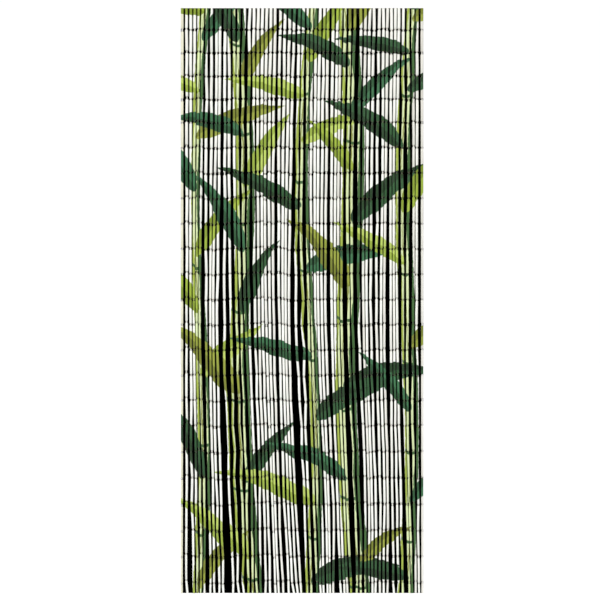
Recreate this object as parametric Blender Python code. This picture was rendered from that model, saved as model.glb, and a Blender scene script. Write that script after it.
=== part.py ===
"""Door curtain of bamboo tubes strung in chains, hanging from a narrow lath.

The strings hang along -Z from the top edge, their fronts face -Y, and the
origin is the middle of the top edge.  All sizes are in metres.
"""
import math
import random
from collections import namedtuple

import bmesh
import bpy

# The curtain as it hangs
CURTAIN_WIDTH = 0.900
CURTAIN_DROP = 2.169
STRING_COUNT = 55

# One string is a strand of four sides, as thick as its bamboo tubes, which
# are thinner lower down
TOP_THICKNESS = 0.0113
FOOT_THICKNESS = 0.0080
LEAST_SLIT = 0.0008

# Joint rows: the first one's depth, then batches of rows with their spacing
FIRST_JOINT_DEPTH = 0.0809
RowBatch = namedtuple("RowBatch", "rows spacing")
ROW_BATCHES = (
    RowBatch(4, 0.0858),
    RowBatch(12, 0.0936),
    RowBatch(6, 0.0969),
)
STRING_OFFSET = 0.0042
TUBE_LENGTH_SPREAD = 0.0014
LEAST_END_TUBE = 0.012

# The lath behind the top ends of the strings
LATH_HEIGHT = 0.020
LATH_THICKNESS = 0.006
STRING_TOP_DEPTH = 0.0005
ROOT_OVERLAP = 0.00125

# How far the strings swing out of line, forwards and back
DEPTH_SWAY = 0.0032
# How much of the narrower slit beside it a string may wander in
WANDER_SHARE = 0.36
SEED = 27

# Partings are the wider gaps where the strings hang apart in bundles.  Each
# row names the string on the right of the gap, then the gap's sideways drift
# and its width in millimetres at the five levels below.
LEVELS = (0.0, 0.28, 0.55, 0.84, 1.0)
Parting = namedtuple("Parting", "string drift width")
PARTINGS = (
    Parting(2, (-3, -3, -3, -1, 3), (4, 4, 5, 12, 19)),
    Parting(6, (-9, -13, -15, -2, 1), (4, 9, 15, 9, 15)),
    Parting(10, (-8, -11, -15, 3, 14), (7, 11, 17, 26, 28)),
    Parting(12, (-7, -7, 0, 19, 27), (7, 9, 16, 16, 10)),
    Parting(16, (2, -2, 4, 24, 28), (5, 9, 12, 8, 8)),
    Parting(22, (0, -7, -4, 14, 31), (8, 10, 11, 11, 12)),
    Parting(26, (5, -6, -9, 16, 34), (7, 13, 19, 26, 13)),
    Parting(28, (6, 0, 6, 26, 37), (5, 11, 12, 11, 15)),
    Parting(34, (0, -7, -7, 16, 24), (6, 10, 14, 8, 18)),
    Parting(38, (-2, -13, -12, 10, 20), (6, 10, 17, 19, 12)),
    Parting(40, (2, -7, -5, 19, 22), (11, 16, 14, 12, 7)),
    Parting(44, (7, -2, -4, 11, 11), (7, 12, 12, 9, 8)),
    Parting(47, (5, 0, -2, 7, 8), (4, 7, 15, 7, 14)),
    Parting(50, (0, -6, -6, 9, 17), (6, 10, 10, 13, 18)),
)
# Strings that hang close to the one on their left, most so at a share of the
# drop, and how the other slits of a bundle share out its free room
NearPair = namedtuple("NearPair", "string share")
NEAR_PAIRS = (
    NearPair(1, 0.62), NearPair(4, 0.52), NearPair(8, 0.48), NearPair(9, 0.12),
    NearPair(13, 0.22), NearPair(15, 0.70), NearPair(19, 0.38), NearPair(20, 0.85),
    NearPair(24, 0.55), NearPair(31, 0.42), NearPair(32, 0.90), NearPair(36, 0.15),
    NearPair(42, 0.66), NearPair(46, 0.30), NearPair(51, 0.80), NearPair(53, 0.35),
)
NEARNESS = 0.96
NEAR_REACH = 0.24
LOOSE_WEIGHT = (0.8, 1.25)
MILLIMETRE = 0.001

LACQUER_COLOUR = (0.86, 0.86, 0.80, 1.0)
LACQUER_ROUGHNESS = 0.45


def clear_scene():
    for thing in list(bpy.data.objects):
        bpy.data.objects.remove(thing, do_unlink=True)


def smooth_value(values, share):
    """Read a table row at a share of the drop, on a smooth curve through its levels."""
    last = len(LEVELS) - 1
    spot = 0
    while spot < last - 1 and share > LEVELS[spot + 1]:
        spot += 1
    span = LEVELS[spot + 1] - LEVELS[spot]
    slopes = []
    for end in (spot, spot + 1):
        before = max(end - 1, 0)
        after = min(end + 1, last)
        rise = values[after] - values[before]
        slopes.append(span * rise / (LEVELS[after] - LEVELS[before]))
    t = (share - LEVELS[spot]) / span
    start_weight = 2 * t ** 3 - 3 * t ** 2 + 1
    end_weight = 1 - start_weight
    start_slope_weight = t ** 3 - 2 * t ** 2 + t
    end_slope_weight = t ** 3 - t ** 2
    return (
        start_weight * values[spot]
        + end_weight * values[spot + 1]
        + start_slope_weight * slopes[0]
        + end_slope_weight * slopes[1]
    )


def parting_edges(parting, share):
    """Left and right edge of one parting at a share of the drop."""
    even_place = CURTAIN_WIDTH * (parting.string / STRING_COUNT - 0.5)
    middle = even_place + smooth_value(parting.drift, share) * MILLIMETRE
    half = smooth_value(parting.width, share) * MILLIMETRE / 2
    return middle - half, middle + half


def thickness_at(share):
    """How thick the strings are at a share of the drop."""
    return TOP_THICKNESS + (FOOT_THICKNESS - TOP_THICKNESS) * share


def slit_weight(string, share):
    """How big a part of its bundle's free room a string keeps on its left."""
    weight = random.Random(SEED * 100 + string).uniform(*LOOSE_WEIGHT)
    for pair in NEAR_PAIRS:
        if pair.string == string:
            off = (share - pair.share) / NEAR_REACH
            weight *= 1 - NEARNESS * math.exp(-off * off)
    return weight


def bundle_row(share):
    """Centre and room to wander in of every string at a share of the drop."""
    thickness = thickness_at(share)
    places = []
    first_string = 0
    left_limit = -CURTAIN_WIDTH / 2
    left_gap = 0.0
    for parting in (*PARTINGS, None):
        if parting is None:
            next_string = STRING_COUNT
            right_limit = next_left = CURTAIN_WIDTH / 2
        else:
            next_string = parting.string
            right_limit, next_left = parting_edges(parting, share)
        count = next_string - first_string
        free = right_limit - left_limit - count * thickness - (count - 1) * LEAST_SLIT
        weights = [slit_weight(string, share) for string in range(first_string + 1, next_string)]
        slits = [LEAST_SLIT + free * weight / sum(weights) for weight in weights]
        gaps = [left_gap, *slits, next_left - right_limit]
        centre = left_limit + thickness / 2
        for left, right in zip(gaps, gaps[1:]):
            places.append((centre, max(min(left, right) - LEAST_SLIT, 0.0)))
            centre += thickness + right
        first_string = next_string
        left_limit = next_left
        left_gap = gaps[-1]
    return places


def joint_depths(chance):
    """Depths of one string's joints: even rows, put off by its own tubes' lengths."""
    slip = chance.uniform(-STRING_OFFSET, STRING_OFFSET)
    depth = FIRST_JOINT_DEPTH
    depths = [depth + slip]
    for batch in ROW_BATCHES:
        for _ in range(batch.rows):
            depth += batch.spacing
            slip += chance.uniform(-TUBE_LENGTH_SPREAD, TUBE_LENGTH_SPREAD)
            depths.append(depth + slip)
    lowest = CURTAIN_DROP - LEAST_END_TUBE
    return [min(depth, lowest) for depth in depths]


def string_line(string):
    """Centre line of one string: its top end, its joints and its cut lower end."""
    chance = random.Random(SEED + string)
    depths = [STRING_TOP_DEPTH, *joint_depths(chance), CURTAIN_DROP]
    lean = chance.uniform(-1.0, 1.0)
    line = []
    for depth in depths:
        share = depth / CURTAIN_DROP
        centre, room = bundle_row(share)[string]
        wander = chance.uniform(-WANDER_SHARE, WANDER_SHARE)
        sway = chance.uniform(-1.0, 1.0)
        x = centre + wander * room
        y = DEPTH_SWAY * share ** 0.5 * (0.7 * lean + 0.3 * sway)
        line.append((x, y, -depth))
    return line


def square_ring(mesh, x, y, z):
    """Four corners round a point of a string's centre line."""
    half = thickness_at(-z / CURTAIN_DROP) / 2
    corners = ((-half, -half), (half, -half), (half, half), (-half, half))
    return [mesh.verts.new((x + dx, y + dy, z)) for dx, dy in corners]


def build_strand(mesh, line):
    """Run a square down a string's centre line and close its lower end."""
    ring = square_ring(mesh, *line[0])
    mesh.faces.new(ring)
    for point in line[1:]:
        next_ring = square_ring(mesh, *point)
        for side in range(4):
            after = (side + 1) % 4
            mesh.faces.new((ring[side], next_ring[side], next_ring[after], ring[after]))
        ring = next_ring
    mesh.faces.new(list(reversed(ring)))


def add_object(name, mesh):
    data = bpy.data.meshes.new(name)
    bmesh.ops.recalc_face_normals(mesh, faces=mesh.faces[:])
    mesh.to_mesh(data)
    mesh.free()
    thing = bpy.data.objects.new(name, data)
    bpy.context.scene.collection.objects.link(thing)
    return thing


def build_strings():
    """All 55 strands, still apart."""
    mesh = bmesh.new()
    for string in range(STRING_COUNT):
        build_strand(mesh, string_line(string))
    return add_object("bamboo_strings", mesh)


def build_lath_guide():
    """The lath that the strands are fused into at their roots."""
    mesh = bmesh.new()
    bmesh.ops.create_cube(mesh, size=1.0)
    bmesh.ops.scale(mesh, vec=(CURTAIN_WIDTH, LATH_THICKNESS, LATH_HEIGHT), verts=mesh.verts[:])
    front = TOP_THICKNESS / 2 - ROOT_OVERLAP
    centre = (0.0, front + LATH_THICKNESS / 2, -LATH_HEIGHT / 2)
    bmesh.ops.translate(mesh, vec=centre, verts=mesh.verts[:])
    lath = add_object("lath_guide", mesh)
    lath.hide_render = True
    lath.display_type = "WIRE"
    return lath


def fuse(thing, guide):
    union = thing.modifiers.new("roots", "BOOLEAN")
    union.operation = "UNION"
    union.solver = "EXACT"
    union.object = guide


def give_lacquer(thing):
    material = bpy.data.materials.new("white_lacquered_bamboo")
    material.use_nodes = True
    shader = material.node_tree.nodes["Principled BSDF"]
    shader.inputs["Base Color"].default_value = LACQUER_COLOUR
    shader.inputs["Roughness"].default_value = LACQUER_ROUGHNESS
    shader.inputs["Metallic"].default_value = 0.0
    thing.data.materials.append(material)


def main():
    clear_scene()
    strings = build_strings()
    fuse(strings, build_lath_guide())
    give_lacquer(strings)


main()
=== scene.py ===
"""Looks of a bamboo door curtain: lacquered tubes, wire links, lath and painted design.

Metres, +Z up.  The strings hang along -Z from the top edge and face -Y.
"""

import math
import random
from collections import namedtuple

import bmesh
import bpy
from mathutils import Matrix, Vector, noise


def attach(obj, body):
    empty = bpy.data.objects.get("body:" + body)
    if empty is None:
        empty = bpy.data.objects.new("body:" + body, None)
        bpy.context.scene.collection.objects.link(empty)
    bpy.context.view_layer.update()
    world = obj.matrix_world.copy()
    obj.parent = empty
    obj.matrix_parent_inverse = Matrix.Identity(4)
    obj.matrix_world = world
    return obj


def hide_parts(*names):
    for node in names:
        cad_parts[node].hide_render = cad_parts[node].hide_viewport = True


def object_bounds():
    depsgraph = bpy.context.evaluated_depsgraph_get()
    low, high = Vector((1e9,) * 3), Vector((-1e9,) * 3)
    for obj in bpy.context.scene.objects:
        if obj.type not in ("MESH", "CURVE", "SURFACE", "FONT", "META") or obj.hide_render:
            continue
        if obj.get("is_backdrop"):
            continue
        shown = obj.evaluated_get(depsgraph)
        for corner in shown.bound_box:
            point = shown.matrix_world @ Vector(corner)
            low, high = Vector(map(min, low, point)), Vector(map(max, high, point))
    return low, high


# The curtain as it hangs, with the strings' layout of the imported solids
CURTAIN_WIDTH = 0.900
CURTAIN_DROP = 2.169
STRING_COUNT = 55
STRING_PITCH = CURTAIN_WIDTH / STRING_COUNT
STRINGS_PER_BUNDLE = 5
TOP_THICKNESS = 0.0113
FOOT_THICKNESS = 0.0080
LEAST_SLIT = 0.0008
FIRST_JOINT_DEPTH = 0.0809
RowBatch = namedtuple("RowBatch", "rows spacing")
ROW_BATCHES = (
    RowBatch(4, 0.0858),
    RowBatch(12, 0.0936),
    RowBatch(6, 0.0969),
)
STRING_OFFSET = 0.0042
TUBE_LENGTH_SPREAD = 0.0014
LEAST_END_TUBE = 0.012
STRING_TOP_DEPTH = 0.0005
DEPTH_SWAY = 0.0032
LEAN_WEIGHT = 0.7
SWAY_WEIGHT = 0.3
WANDER_SHARE = 0.36
MILLIMETRE = 0.001

# The seed of the strings' lines, and those of the other kinds of draw
SEED = 27
SLIT_SEED = SEED * 100
TONE_SEED = SEED * 7
TUBE_SEED = SEED * 1000
PAINT_SEED = SEED * 3000

# Partings are the wider gaps where the strings hang apart in bundles.  Each
# row names the string on the right of the gap, then the gap's sideways drift
# and its width in millimetres at the five levels below.
LEVELS = (0.0, 0.28, 0.55, 0.84, 1.0)
Parting = namedtuple("Parting", "string drift width")
PARTINGS = (
    Parting(2, (-3, -3, -3, -1, 3), (4, 4, 5, 12, 19)),
    Parting(6, (-9, -13, -15, -2, 1), (4, 9, 15, 9, 15)),
    Parting(10, (-8, -11, -15, 3, 14), (7, 11, 17, 26, 28)),
    Parting(12, (-7, -7, 0, 19, 27), (7, 9, 16, 16, 10)),
    Parting(16, (2, -2, 4, 24, 28), (5, 9, 12, 8, 8)),
    Parting(22, (0, -7, -4, 14, 31), (8, 10, 11, 11, 12)),
    Parting(26, (5, -6, -9, 16, 34), (7, 13, 19, 26, 13)),
    Parting(28, (6, 0, 6, 26, 37), (5, 11, 12, 11, 15)),
    Parting(34, (0, -7, -7, 16, 24), (6, 10, 14, 8, 18)),
    Parting(38, (-2, -13, -12, 10, 20), (6, 10, 17, 19, 12)),
    Parting(40, (2, -7, -5, 19, 22), (11, 16, 14, 12, 7)),
    Parting(44, (7, -2, -4, 11, 11), (7, 12, 12, 9, 8)),
    Parting(47, (5, 0, -2, 7, 8), (4, 7, 15, 7, 14)),
    Parting(50, (0, -6, -6, 9, 17), (6, 10, 10, 13, 18)),
)
# Strings that hang close to the one on their left, each with the share of the drop
# where it is closest, and how the other slits of a bundle share out its free room
NEAR_STRINGS = {
    1: 0.62, 4: 0.52, 8: 0.48, 9: 0.12, 13: 0.22, 15: 0.70, 19: 0.38, 20: 0.85,
    24: 0.55, 31: 0.42, 32: 0.90, 36: 0.15, 42: 0.66, 46: 0.30, 51: 0.80, 53: 0.35,
}
NEARNESS = 0.96
NEAR_REACH = 0.24
LOOSE_WEIGHT = (0.8, 1.25)

# One bamboo tube
TUBE_RADIUS = 0.0054
TUBE_SIDES = 8
TUBE_WALL = 0.0017
BORE_DEPTH = 0.007
BORE_NARROWING = 0.0002
END_ROUNDING = 0.0011
TEMPLATE_LENGTH = 0.077
# Knuckles: the share of tubes that has one, where along the tube, and its form
KNUCKLE_SHARE = 0.22
KNUCKLE_PLACES = (-0.27, 0.12, 0.31)
KNUCKLE_HALF_LENGTH = 0.0022
KNUCKLE_SWELL = 1.075
# How thick, oval, tapered, bowed and lumpy a tube may be.  A tube with room on
# both sides may be thicker.
LEAST_GIRTH = 0.93
SNUG_GIRTH = 0.96
MOST_GIRTH = 1.06
GIRTH_FOR_ROOM = 0.3
MOST_OVAL = 0.03
MOST_TAPER = 0.035
MOST_BOW = 0.0004
LUMP_SIZE = 0.04
LUMPS_ROUND = 90
LUMPS_ALONG = 1.5
LUMP_PLACES = 50.0
# Points this close count as one, and this share counts as nearly all
TOUCH = 1e-6
NEARLY = 0.9

# The wire links between two tubes: thickly lacquered eyes on wound necks
WIRE_THICKNESS = 0.0014
EYE_RADIUS = 0.0015
EYE_WIDENING = 1.7
EYE_STEPS = 10
WIRE_SIDES = 4
LINK_PLAY = 0.0001
EYE_TO_JOINT = EYE_RADIUS - WIRE_THICKNESS / 2 - LINK_PLAY
EYE_TOP_TO_JOINT = EYE_TO_JOINT + EYE_RADIUS + WIRE_THICKNESS / 2
HALF_CROSSING = (34, 44)
NECK_RADIUS = 0.0021
NECK_GROOVE = 0.78
NECK_SIDES = 6
NECK_START = EYE_RADIUS + 0.0004
NECK_WINDINGS = 2
WINDING_HEIGHT = 0.0021
STEM_END = 0.0140
NECK_SHOWN = (-0.0004, 0.0003)
LONG_NECK_SHOWN = (0.0012, 0.0024)
LONG_NECK_SHARE = 0.16

# How far a string has slipped down since it was painted, and each of its tubes
# has slipped on its wire and turned on it
STRING_SLIP = 0.0030
TUBE_SLIP = 0.0008
TUBE_TURN_SLIP = 0.0012

# What a tube's greyness comes from: its string, its own chance and its height
STRING_GREYNESS = 0.6
TUBE_GREYNESS = 0.25
HEIGHT_GREYNESS = 0.15
LEFT_GREYNESS = 0.35
HOOK_GREYNESS = 0.5

# The lath and the wire hooks over it
LATH_HEIGHT = 0.020
LATH_FRONT = 0.0066
LATH_BACK = 0.0104
HOOK_REACH_DOWN = 0.013
HOOK_BEND = 0.0014
HOOK_BEND_STEPS = 3
HOOK_WIRE = 0.0012
HOOK_GAP = 0.0002
LATH_EASING = 0.0007
LATH_EASING_STEPS = 2

# The map that a piece's finish is baked through, one cell for each copy on it
FLAT_MAP = "OFBake"
CELL_EDGE = 0.03
Cells = namedtuple("Cells", "across up")
TUBE_CELLS = Cells(20, 6)
LINK_CELLS = Cells(16, 15)
HOOK_CELLS = Cells(11, 5)
# An eye in its cell: its ring's strip, its neck's strip above that, and beside it
# the neck's two end faces, drawn larger
STRIP_HEIGHT = 0.48
NECK_STRIP_FOOT = 0.52
NECK_STRIP_LENGTH = 0.84
END_FACE_PLACE = (0.90, 0.76)
END_FACE_SCALE = (20, 60)
END_FACE_STEP = 0.03

# Edges with at least this angle, in radians, stay sharp
WOOD_SHARP_ANGLE = 0.6
WIRE_SHARP_ANGLE = 1.8

# Photo frame: how many metres one of its 600 pixels spans at the curtain
PIXEL = 0.003707
FRAME_PIXELS = 600
CURTAIN_CENTRE_PIXEL = (302.1, 300.6)
CAMERA_DISTANCE = 8.0
CAMERA_REACH = 100.0
SENSOR = 36.0

# The pale floor under the curtain, and the black ground right behind it, which is
# clear when it is seen from behind or nearly edge on
FLOOR_SIZE = 60.0
FLOOR_DEPTH = 0.06
FLOOR_GREY = 0.30
FLOOR_GLOW = 0.70
CARD_DEPTH = LATH_BACK + 0.006
CARD_MARGIN = 0.001
CARD_LEAST_SLANT = 0.9

# The soft lights, and how bright the white all round is to the curtain and to the
# camera
Sun = namedtuple("Sun", "name strength softness towards")
SUNS = (
    Sun("key_light", 1.54, 30, (0.60, 1.0, -0.30)),
    Sun("fill_light", 1.27, 40, (-0.55, 1.0, -0.22)),
    Sun("back_light", 0.9, 40, (0.25, -1.0, -0.45)),
    Sun("floor_light", 1.1, 30, (0.0, 0.0, -1.0)),
)
AMBIENT = 0.48
BACKDROP = 1.02


def smooth_value(values, share):
    """Read a table row at a share of the drop, on a smooth curve through its levels."""
    last = len(LEVELS) - 1
    spot = 0
    while spot < last - 1 and share > LEVELS[spot + 1]:
        spot += 1
    span = LEVELS[spot + 1] - LEVELS[spot]
    slopes = []
    for end in (spot, spot + 1):
        before = max(end - 1, 0)
        after = min(end + 1, last)
        rise = values[after] - values[before]
        slopes.append(span * rise / (LEVELS[after] - LEVELS[before]))
    t = (share - LEVELS[spot]) / span
    start_weight = 2 * t ** 3 - 3 * t ** 2 + 1
    end_weight = 1 - start_weight
    start_slope_weight = t ** 3 - 2 * t ** 2 + t
    end_slope_weight = t ** 3 - t ** 2
    return (
        start_weight * values[spot]
        + end_weight * values[spot + 1]
        + start_slope_weight * slopes[0]
        + end_slope_weight * slopes[1]
    )


def parting_edges(parting, share):
    """Left and right edge of one parting at a share of the drop."""
    even_place = CURTAIN_WIDTH * (parting.string / STRING_COUNT - 0.5)
    middle = even_place + smooth_value(parting.drift, share) * MILLIMETRE
    half = smooth_value(parting.width, share) * MILLIMETRE / 2
    return middle - half, middle + half


def thickness_at(share):
    """How thick the strings are at a share of the drop."""
    return TOP_THICKNESS + (FOOT_THICKNESS - TOP_THICKNESS) * share


def slit_weight(string, share):
    """How big a part of its bundle's free room a string keeps on its left."""
    weight = random.Random(SLIT_SEED + string).uniform(*LOOSE_WEIGHT)
    if string in NEAR_STRINGS:
        off = (share - NEAR_STRINGS[string]) / NEAR_REACH
        weight *= 1 - NEARNESS * math.exp(-off * off)
    return weight


def bundle_row(share):
    """Centre and room to wander in of every string at a share of the drop."""
    thickness = thickness_at(share)
    places = []
    first_string = 0
    left_limit = -CURTAIN_WIDTH / 2
    left_gap = 0.0
    for parting in (*PARTINGS, None):
        if parting is None:
            next_string = STRING_COUNT
            right_limit = next_left = CURTAIN_WIDTH / 2
        else:
            next_string = parting.string
            right_limit, next_left = parting_edges(parting, share)
        count = next_string - first_string
        free = right_limit - left_limit - count * thickness - (count - 1) * LEAST_SLIT
        weights = [slit_weight(string, share) for string in range(first_string + 1, next_string)]
        slits = [LEAST_SLIT + free * weight / sum(weights) for weight in weights]
        gaps = [left_gap, *slits, next_left - right_limit]
        centre = left_limit + thickness / 2
        for left, right in zip(gaps, gaps[1:]):
            places.append((centre, max(min(left, right) - LEAST_SLIT, 0.0)))
            centre += thickness + right
        first_string = next_string
        left_limit = next_left
        left_gap = gaps[-1]
    return places


def joint_depths(chance):
    """Depths of one string's joints: even rows, put off by its own tubes' lengths."""
    slip = chance.uniform(-STRING_OFFSET, STRING_OFFSET)
    depth = FIRST_JOINT_DEPTH
    depths = [depth + slip]
    for batch in ROW_BATCHES:
        for _ in range(batch.rows):
            depth += batch.spacing
            slip += chance.uniform(-TUBE_LENGTH_SPREAD, TUBE_LENGTH_SPREAD)
            depths.append(depth + slip)
    lowest = CURTAIN_DROP - LEAST_END_TUBE
    return [min(depth, lowest) for depth in depths]


def string_line(string):
    """Centre line of one string: its top end, its joints and its cut lower end."""
    chance = random.Random(SEED + string)
    depths = [STRING_TOP_DEPTH, *joint_depths(chance), CURTAIN_DROP]
    lean = chance.uniform(-1.0, 1.0)
    line = []
    for depth in depths:
        share = depth / CURTAIN_DROP
        centre, room = bundle_row(share)[string]
        wander = chance.uniform(-WANDER_SHARE, WANDER_SHARE)
        sway = chance.uniform(-1.0, 1.0)
        x = centre + wander * room
        y = DEPTH_SWAY * share ** 0.5 * (LEAN_WEIGHT * lean + SWAY_WEIGHT * sway)
        line.append(Vector((x, y, -depth)))
    return line


def template_from(mesh, name):
    """Keep a finished shape as mesh data that many copies are made from."""
    bmesh.ops.recalc_face_normals(mesh, faces=mesh.faces[:])
    data = bpy.data.meshes.new(name)
    mesh.to_mesh(data)
    mesh.free()
    return data


def lay_out(mesh, faces, place):
    """Give each face corner its place on the piece's own flat map."""
    layer = mesh.loops.layers.uv.get(FLAT_MAP) or mesh.loops.layers.uv.new(FLAT_MAP)
    for face in faces:
        middle = face.calc_center_median()
        for loop in face.loops:
            loop[layer].uv = place(loop.vert.co, middle)


def turn_share(across, up, middle_across, middle_up):
    """How far round a corner lies, from 0 to 1, on the same side of the seam as its face."""
    share = (math.atan2(up, across) / math.tau) % 1.0
    middle_share = (math.atan2(middle_up, middle_across) / math.tau) % 1.0
    return share + round(middle_share - share)


def unrolled_tube(point, middle):
    """Flat place of a tube's corner: round the tube, and along its wall, end and bore."""
    half = TEMPLATE_LENGTH / 2
    bore_radius = TUBE_RADIUS - TUBE_WALL
    bore_end = half + TUBE_WALL + BORE_DEPTH
    whole = bore_end + 2 * bore_radius
    from_axis = middle.xy.length
    if from_axis < bore_radius / 2:
        round_it = 0.5 + point.x / (math.tau * TUBE_RADIUS)
        along = bore_end + bore_radius + point.y
    else:
        round_it = turn_share(point.x, point.y, middle.x, middle.y)
        if from_axis < bore_radius:
            along = half + TUBE_WALL + half - abs(point.z)
        else:
            along = abs(point.z) + TUBE_RADIUS - point.xy.length
    return round_it, 0.5 + math.copysign(along / whole, middle.z) / 2


def cut_round(mesh, height):
    """Cut a loop of edges round the tube at one height."""
    geometry = mesh.verts[:] + mesh.edges[:] + mesh.faces[:]
    bmesh.ops.bisect_plane(
        mesh, geom=geometry, dist=TOUCH, plane_co=(0, 0, height), plane_no=(0, 0, 1)
    )


def tube_template(knuckle_height=None):
    """A bored tube with eased ends, and a bamboo knuckle where a height is given."""
    mesh = bmesh.new()
    half = TEMPLATE_LENGTH / 2
    bmesh.ops.create_cone(
        mesh, cap_ends=True, cap_tris=False, segments=TUBE_SIDES,
        radius1=TUBE_RADIUS, radius2=TUBE_RADIUS, depth=TEMPLATE_LENGTH,
    )
    ends = [face for face in mesh.faces if abs(face.normal.z) > NEARLY]
    bmesh.ops.inset_individual(mesh, faces=ends, thickness=TUBE_WALL, depth=0.0)
    bmesh.ops.inset_individual(mesh, faces=ends, thickness=BORE_NARROWING, depth=-BORE_DEPTH)
    rims = [
        edge for edge in mesh.edges
        if all(
            abs(vert.co.z) > half - TOUCH and vert.co.xy.length > TUBE_RADIUS * NEARLY
            for vert in edge.verts
        )
    ]
    bmesh.ops.bevel(
        mesh, geom=rims, offset=END_ROUNDING, offset_type="OFFSET", segments=1,
        profile=0.5, affect="EDGES", material=-1,
    )
    cut_round(mesh, 0.0)
    if knuckle_height is not None:
        for step in (-1.0, 0.0, 1.0):
            cut_round(mesh, knuckle_height + step * KNUCKLE_HALF_LENGTH)
        for vert in mesh.verts:
            on_ridge = abs(vert.co.z - knuckle_height) < KNUCKLE_HALF_LENGTH / 2
            if on_ridge and vert.co.xy.length > TUBE_RADIUS * NEARLY:
                vert.co.x *= KNUCKLE_SWELL
                vert.co.y *= KNUCKLE_SWELL
    lay_out(mesh, mesh.faces, unrolled_tube)
    return template_from(mesh, "tube_template")


def unrolled_ring(point, middle):
    """Flat place of a corner on the eye's ring: round the eye, and round the wire."""
    flat_radius = math.hypot(point.x, point.z) - EYE_RADIUS
    middle_flat = math.hypot(middle.x, middle.z) - EYE_RADIUS
    round_eye = turn_share(point.x, point.z, middle.x, middle.z)
    round_wire = turn_share(flat_radius, point.y, middle_flat, middle.y)
    return round_eye, round_wire * STRIP_HEIGHT


def unrolled_neck(point, middle):
    """Flat place of a corner on the neck or the stem, above the ring's strip."""
    along = (point.z - NECK_START) / (STEM_END - NECK_START)
    if middle.xy.length < WIRE_THICKNESS / 8:
        across = END_FACE_PLACE[0] + END_FACE_SCALE[0] * point.x + END_FACE_STEP * along
        return across, END_FACE_PLACE[1] + END_FACE_SCALE[1] * point.y
    round_wire = turn_share(point.x, point.y, middle.x, middle.y)
    return along * NECK_STRIP_LENGTH, NECK_STRIP_FOOT + STRIP_HEIGHT * round_wire


def new_parts(made, kind):
    """Pick the points or the edges out of what an operator made."""
    return [part for part in made if isinstance(part, kind)]


def start_wire(mesh, sides, radius, place):
    """The points and the edges round the open end that a wire grows from."""
    verts = bmesh.ops.create_circle(
        mesh, segments=sides, radius=radius, matrix=Matrix.Translation(place)
    )["verts"]
    return verts, list({edge for vert in verts for edge in vert.link_edges})


def run_wire(mesh, edges, step, swell=1.0):
    """Carry the wire's open end straight on by one step, and swell or narrow it there."""
    made = bmesh.ops.extrude_edge_only(mesh, edges=edges)["geom"]
    verts = new_parts(made, bmesh.types.BMVert)
    bmesh.ops.scale(mesh, vec=(swell, swell, 1.0), verts=verts)
    bmesh.ops.translate(mesh, vec=step, verts=verts)
    return new_parts(made, bmesh.types.BMEdge)


def close_wire(mesh, sides):
    """Put the end faces on a wire."""
    open_ends = [edge for edge in mesh.edges if edge.is_boundary]
    bmesh.ops.holes_fill(mesh, edges=open_ends, sides=sides)


def wind_neck(mesh):
    """The wire's end wound round the wire above its eye, and the wire running on up."""
    _, edges = start_wire(mesh, NECK_SIDES, NECK_RADIUS * NECK_GROOVE, (0, 0, NECK_START))
    for _ in range(NECK_WINDINGS):
        edges = run_wire(mesh, edges, (0, 0, WINDING_HEIGHT / 2), 1 / NECK_GROOVE)
        edges = run_wire(mesh, edges, (0, 0, WINDING_HEIGHT / 2), NECK_GROOVE)
    neck_end = NECK_START + NECK_WINDINGS * WINDING_HEIGHT
    narrowing = WIRE_THICKNESS / 2 / (NECK_RADIUS * NECK_GROOVE)
    edges = run_wire(mesh, edges, (0, 0, 0), narrowing)
    run_wire(mesh, edges, (0, 0, STEM_END - neck_end))
    close_wire(mesh, NECK_SIDES)


def eye_template():
    """A wire eye standing in the XZ plane, its wound neck and its stem up into the bore."""
    mesh = bmesh.new()
    verts, edges = start_wire(mesh, WIRE_SIDES, WIRE_THICKNESS / 2, (EYE_RADIUS, 0, 0))
    bmesh.ops.spin(
        mesh, geom=verts + edges, cent=(0, 0, 0), axis=(0, 1, 0),
        angle=math.tau, steps=EYE_STEPS, use_merge=True,
    )
    bmesh.ops.remove_doubles(mesh, verts=mesh.verts[:], dist=TOUCH)
    lay_out(mesh, mesh.faces, unrolled_ring)
    bmesh.ops.scale(mesh, vec=(EYE_WIDENING, 1.0, 1.0), verts=mesh.verts[:])
    ring_faces = set(mesh.faces)
    wind_neck(mesh)
    lay_out(mesh, [face for face in mesh.faces if face not in ring_faces], unrolled_neck)
    return template_from(mesh, "eye_template")


def bend_wire(mesh, edges, centre):
    """Carry the wire's open end round a quarter turn to the back."""
    verts = list({vert for edge in edges for vert in edge.verts})
    made = bmesh.ops.spin(
        mesh, geom=verts + edges, cent=centre, axis=(-1, 0, 0),
        angle=math.pi / 2, steps=HOOK_BEND_STEPS, use_merge=False,
    )["geom_last"]
    return new_parts(made, bmesh.types.BMEdge)


def hook_template():
    """A wire bent back over the lath: up from the first tube's bore, over and down."""
    mesh = bmesh.new()
    _, edges = start_wire(mesh, WIRE_SIDES, HOOK_WIRE / 2, (0, 0, -BORE_DEPTH))
    reach = LATH_BACK + HOOK_WIRE / 2 + HOOK_GAP
    rise = HOOK_WIRE / 2 + HOOK_GAP - HOOK_BEND
    edges = run_wire(mesh, edges, (0, 0, BORE_DEPTH + rise))
    edges = bend_wire(mesh, edges, (0, HOOK_BEND, rise))
    edges = run_wire(mesh, edges, (0, reach - 2 * HOOK_BEND, 0))
    edges = bend_wire(mesh, edges, (0, reach - HOOK_BEND, rise))
    run_wire(mesh, edges, (0, 0, -HOOK_REACH_DOWN))
    close_wire(mesh, WIRE_SIDES)
    return template_from(mesh, "hook_template")


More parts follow.
